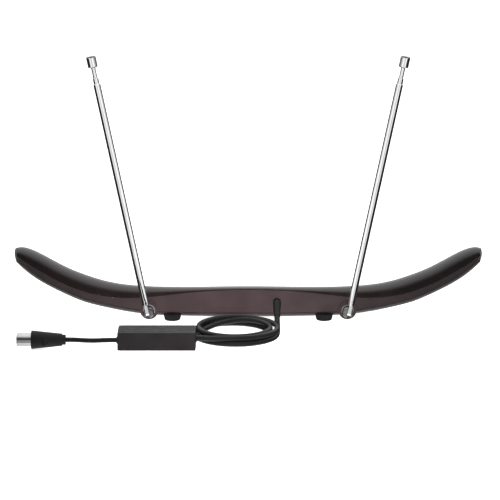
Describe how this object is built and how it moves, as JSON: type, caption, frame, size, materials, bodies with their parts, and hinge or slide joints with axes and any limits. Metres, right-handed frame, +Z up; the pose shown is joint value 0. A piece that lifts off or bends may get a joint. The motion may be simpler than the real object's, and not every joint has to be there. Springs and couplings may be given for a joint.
{
  "type": "rabbit ears antenna",
  "caption": "Indoor television antenna: crescent base on rubber feet, hinged telescopic rods behind it, and a coiled coaxial lead with an in-line amplifier box and an aerial plug.",
  "frame": {"origin": "centre of the antenna's footprint on the table, between the feet, with the lead left out", "axes": "+X along the crescent to the right as seen from behind, +Y to the plain front, +Z up; the rods, their pivots and the lead are on the -Y side"},
  "size_m": [0.3472, 0.1377, 0.1991],
  "materials": {
    "shell": "glossy dark brown moulding",
    "cover": "satin reddish brown moulding",
    "rubber": "matt black rubber",
    "chrome": "polished chrome plate",
    "steel": "zinc-plated steel",
    "brass": "plain brass",
    "nylon": "natural nylon",
    "board": "green circuit board",
    "ferrite": "dark grey ferrite",
    "cord": "satin black cable jacket",
    "box": "matt black moulding",
    "switch": "black plastic"
  },
  "bodies": {
    "base": {"amp_board": "board", "amp_case_base": "box", "amp_case_screws": "steel", "amp_case_top": "box", "amp_inlet_bush": "cord", "amp_outlet_bush": "cord", "amp_shield_can": "steel", "ballast_plate": "steel", "ballast_screws": "steel", "balun_core": "ferrite", "boot_retainer": "steel", "circuit_board": "board", "coax_tail": "cord", "cord_boot": "cord", "cover_screws": "steel", "feed_wire_left": "cord", "feed_wire_right": "cord", "front_feet": "rubber", "front_housing": "shell", "gain_switch_body": "steel", "inner_screws": "steel", "lead_coil": "cord", "lead_to_box": "cord", "lead_to_coil": "cord", "plug_body": "box", "plug_centre_pin": "brass", "plug_insulator": "nylon", "plug_lead": "cord", "plug_outer_contact": "chrome", "rear_cover": "cover", "rear_feet": "rubber", "solder_tag_left": "brass", "solder_tag_right": "brass", "uhf_element_left": "brass", "uhf_element_right": "brass"},
    "swivel_left": {"friction_washer_left": "nylon", "hinge_pin_left": "chrome", "spring_washer_left": "steel", "stud_nut_left": "steel", "swivel_stud_left": "chrome"},
    "swivel_right": {"friction_washer_right": "nylon", "hinge_pin_right": "chrome", "spring_washer_right": "steel", "stud_nut_right": "steel", "swivel_stud_right": "chrome"},
    "gain_switch": {"gain_switch_slider": "switch"},
    "middle_section_left": {"middle_contact_left": "brass", "middle_tube_left": "chrome"},
    "middle_section_right": {"middle_contact_right": "brass", "middle_tube_right": "chrome"},
    "rod_left": {"outer_tube_left": "chrome", "rod_tang_left": "chrome"},
    "rod_right": {"outer_tube_right": "chrome", "rod_tang_right": "chrome"},
    "tip_section_left": {"rod_cap_left": "chrome", "tip_contact_left": "brass", "tip_rod_left": "chrome"},
    "tip_section_right": {"rod_cap_right": "chrome", "tip_contact_right": "brass", "tip_rod_right": "chrome"}
  },
  "joints": [
    {"name": "left_swivel", "type": "hinge", "parent": "base", "child": "swivel_left", "pos_m": [-0.0735, -0.0262, 0.00775], "axis": [0, -1, 0], "range_deg": [-17.5, 65]},
    {"name": "left_tilt", "type": "hinge", "parent": "swivel_left", "child": "rod_left", "pos_m": [-0.0735, -0.0262, 0.00775], "axis": [0.9796, 0, 0.2011], "range_deg": [0, 60]},
    {"name": "left_middle_slide", "type": "slide", "parent": "rod_left", "child": "middle_section_left", "axis": [-0.2011, 0, 0.9796], "range_m": [0, 0.148]},
    {"name": "left_tip_slide", "type": "slide", "parent": "middle_section_left", "child": "tip_section_left", "axis": [-0.2011, 0, 0.9796], "range_m": [0, 0.148]},
    {"name": "right_swivel", "type": "hinge", "parent": "base", "child": "swivel_right", "pos_m": [0.0735, -0.0262, 0.00775], "axis": [0, 1, 0], "range_deg": [-17.5, 65]},
    {"name": "right_tilt", "type": "hinge", "parent": "swivel_right", "child": "rod_right", "pos_m": [0.0735, -0.0262, 0.00775], "axis": [0.9796, 0, -0.2011], "range_deg": [0, 60]},
    {"name": "right_middle_slide", "type": "slide", "parent": "rod_right", "child": "middle_section_right", "axis": [0.2011, 0, 0.9796], "range_m": [0, 0.148]},
    {"name": "right_tip_slide", "type": "slide", "parent": "middle_section_right", "child": "tip_section_right", "axis": [0.2011, 0, 0.9796], "range_m": [0, 0.148]},
    {"name": "gain_switch_slide", "type": "slide", "parent": "base", "child": "gain_switch", "axis": [1, 0, 0], "range_m": [-0.002, 0]}
  ]
}
